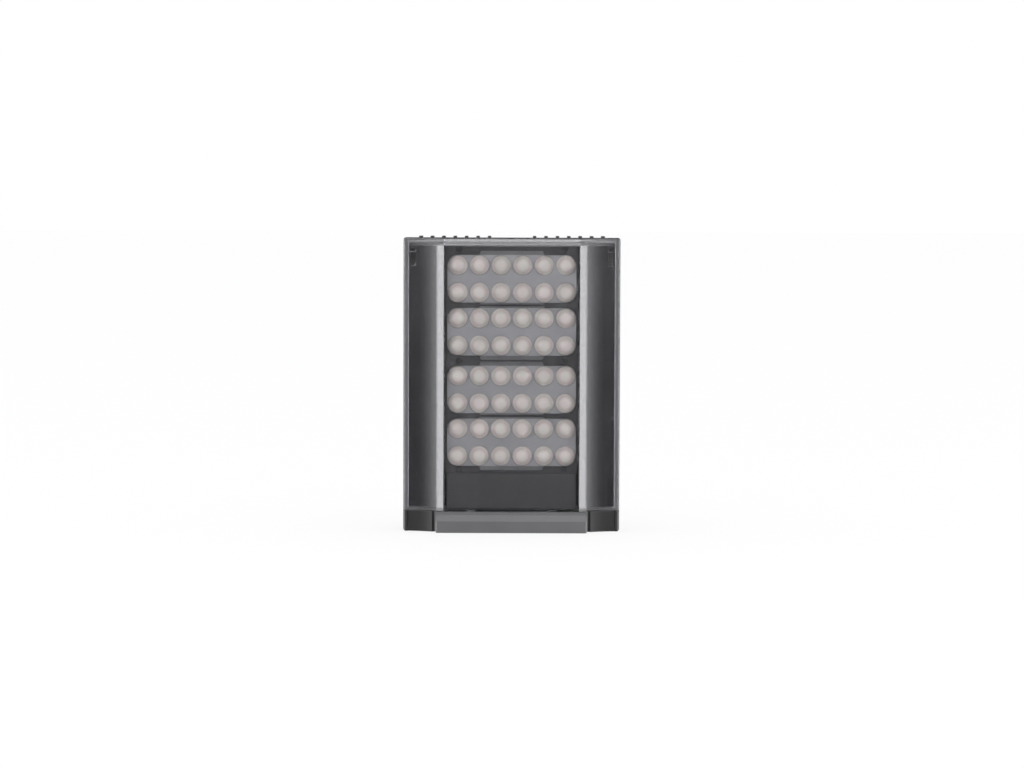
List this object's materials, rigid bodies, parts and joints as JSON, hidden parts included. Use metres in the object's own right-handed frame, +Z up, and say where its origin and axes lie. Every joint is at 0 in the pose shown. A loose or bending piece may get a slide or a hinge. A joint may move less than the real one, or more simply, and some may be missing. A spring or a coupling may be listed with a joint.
{
  "type": "infrared illuminator",
  "caption": "Upright infrared illuminator with a clear winged cover over banks of lenses, a finned back and a tilting wall bracket.",
  "frame": {"origin": "middle of the overall box on the surface that the lamp stands on", "axes": "+X to the right as seen from the front, +Y from the window back to the wall plate, +Z up"},
  "size_m": [0.216, 0.135, 0.2945],
  "materials": {
    "clear_cover": "clear moulded polycarbonate, polished",
    "black_plastic": "black moulded plastic, satin",
    "grey_trim": "dark grey moulded plastic, satin gloss",
    "grey_panel": "dark grey plastic sheet",
    "seal_rubber": "black rubber",
    "black_casting": "black powder-coated die-cast aluminium",
    "green_board": "green circuit board",
    "capacitor_can": "dark sleeve over an aluminium can",
    "green_block": "green moulded plastic",
    "steel": "plated steel",
    "black_screw": "blackened steel",
    "lens_plastic": "clear moulded acrylic",
    "white_board": "aluminium-backed board with a white face",
    "thermal_pad": "grey thermal pad",
    "emitter": "dark infrared emitter",
    "black_bracket": "black powder-coated cast aluminium"
  },
  "bodies": {
    "lamp": {"bezel_screws": "steel", "board_screws": "steel", "bottom_trim": "grey_trim", "bracket_foot": "black_bracket", "cover_gasket": "seal_rubber", "driver_board": "green_board", "driver_capacitors": "capacitor_can", "driver_inductor": "black_plastic", "driver_screws": "steel", "emitters_1": "emitter", "emitters_2": "emitter", "emitters_3": "emitter", "emitters_4": "emitter", "foot_screws": "steel", "front_cover": "clear_cover", "gland_body": "black_plastic", "gland_nut": "black_plastic", "gland_seal": "seal_rubber", "heatsink_housing": "black_casting", "inner_bezel": "black_plastic", "lens_mask": "black_plastic", "lens_module_1": "lens_plastic", "lens_module_2": "lens_plastic", "lens_module_3": "lens_plastic", "lens_module_4": "lens_plastic", "light_board_1": "white_board", "light_board_2": "white_board", "light_board_3": "white_board", "light_board_4": "white_board", "lower_panel": "grey_panel", "mask_screws": "black_screw", "pressure_vent": "black_plastic", "terminal_block": "green_block", "thermal_pad_1": "thermal_pad", "thermal_pad_2": "thermal_pad", "thermal_pad_3": "thermal_pad", "thermal_pad_4": "thermal_pad", "tilt_bolt": "steel", "tilt_nut": "steel", "tilt_washers": "steel", "trim_screws": "steel"},
    "wall_arm": {"wall_arm": "black_bracket"}
  },
  "joints": [
    {"name": "tilt", "type": "hinge", "parent": "lamp", "child": "wall_arm", "pos_m": [0, 0.0215, 0.147], "axis": [1, 0, 0], "range_deg": [-45, 45]}
  ]
}
